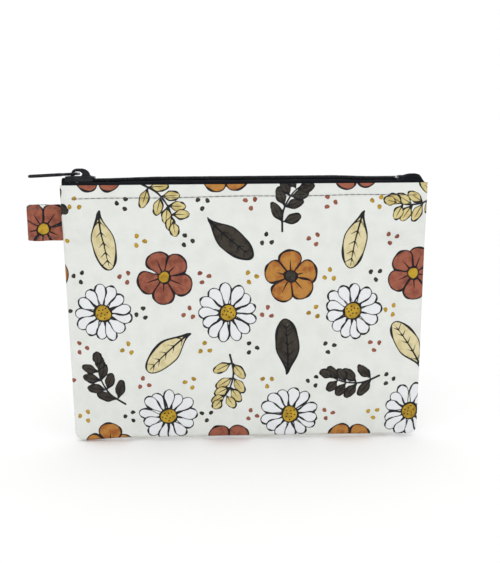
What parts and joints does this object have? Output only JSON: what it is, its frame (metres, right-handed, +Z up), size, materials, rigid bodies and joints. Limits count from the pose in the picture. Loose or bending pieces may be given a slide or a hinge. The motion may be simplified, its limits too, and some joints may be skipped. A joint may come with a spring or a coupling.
{
  "type": "zippered pouch",
  "caption": "Flat padded fabric pouch with a coil zipper across its mouth, a slider with a hinged puller, and a folded loop sewn into one side.",
  "frame": {"origin": "middle of the bottom edge, on the surface that the pouch stands on", "axes": "+X runs along the zipper, from the closed end to the open end; +Y goes from the front wall to the back wall; +Z is up"},
  "size_m": [0.198, 0.0184, 0.1392],
  "materials": {
    "printed_fabric": "woven, printed",
    "fleece": "soft",
    "lining_fabric": "woven",
    "thread": "matt",
    "tape_fabric": "woven",
    "coil_nylon": "satin",
    "black_metal": "satin black"
  },
  "bodies": {
    "seams": {"bottom_seam": "printed_fabric", "left_side_seam": "printed_fabric", "right_side_seam": "printed_fabric", "side_tab": "printed_fabric", "tab_stitching": "thread", "top_stops": "black_metal", "bottom_stop": "black_metal"},
    "front_wall": {"front_panel": "printed_fabric", "front_fleece": "fleece", "front_lining": "lining_fabric", "front_zipper_tape": "tape_fabric", "front_coil": "coil_nylon", "front_topstitch": "thread"},
    "back_wall": {"back_panel": "printed_fabric", "back_fleece": "fleece", "back_lining": "lining_fabric", "back_zipper_tape": "tape_fabric", "back_coil": "coil_nylon", "back_topstitch": "thread"},
    "slider": {"slider_body": "black_metal", "slider_bail": "black_metal"},
    "puller": {"puller": "black_metal"}
  },
  "joints": [
    {"name": "slider_travel", "type": "slide", "parent": "seams", "child": "slider", "axis": [1, 0, 0], "range_m": [0, 0.148]},
    {"name": "puller_swing", "type": "hinge", "parent": "slider", "child": "puller", "pos_m": [-0.0817, 0, 0.13657], "axis": [0, 1, 0], "range_deg": [0, 184]},
    {"name": "front_gape", "type": "hinge", "parent": "seams", "child": "front_wall", "pos_m": [0, 0, 0.0003], "axis": [1, 0, 0], "range_deg": [0, 8], "deforming": ["front_zipper_tape", "front_coil"]},
    {"name": "back_gape", "type": "hinge", "parent": "seams", "child": "back_wall", "pos_m": [0, 0, 0.0003], "axis": [-1, 0, 0], "range_deg": [0, 8], "deforming": ["back_zipper_tape", "back_coil"]}
  ],
  "couplings": [
    {"joint": "front_gape", "follows": "slider_travel", "rad_per_m": 0.943},
    {"joint": "back_gape", "follows": "slider_travel", "rad_per_m": 0.943}
  ]
}
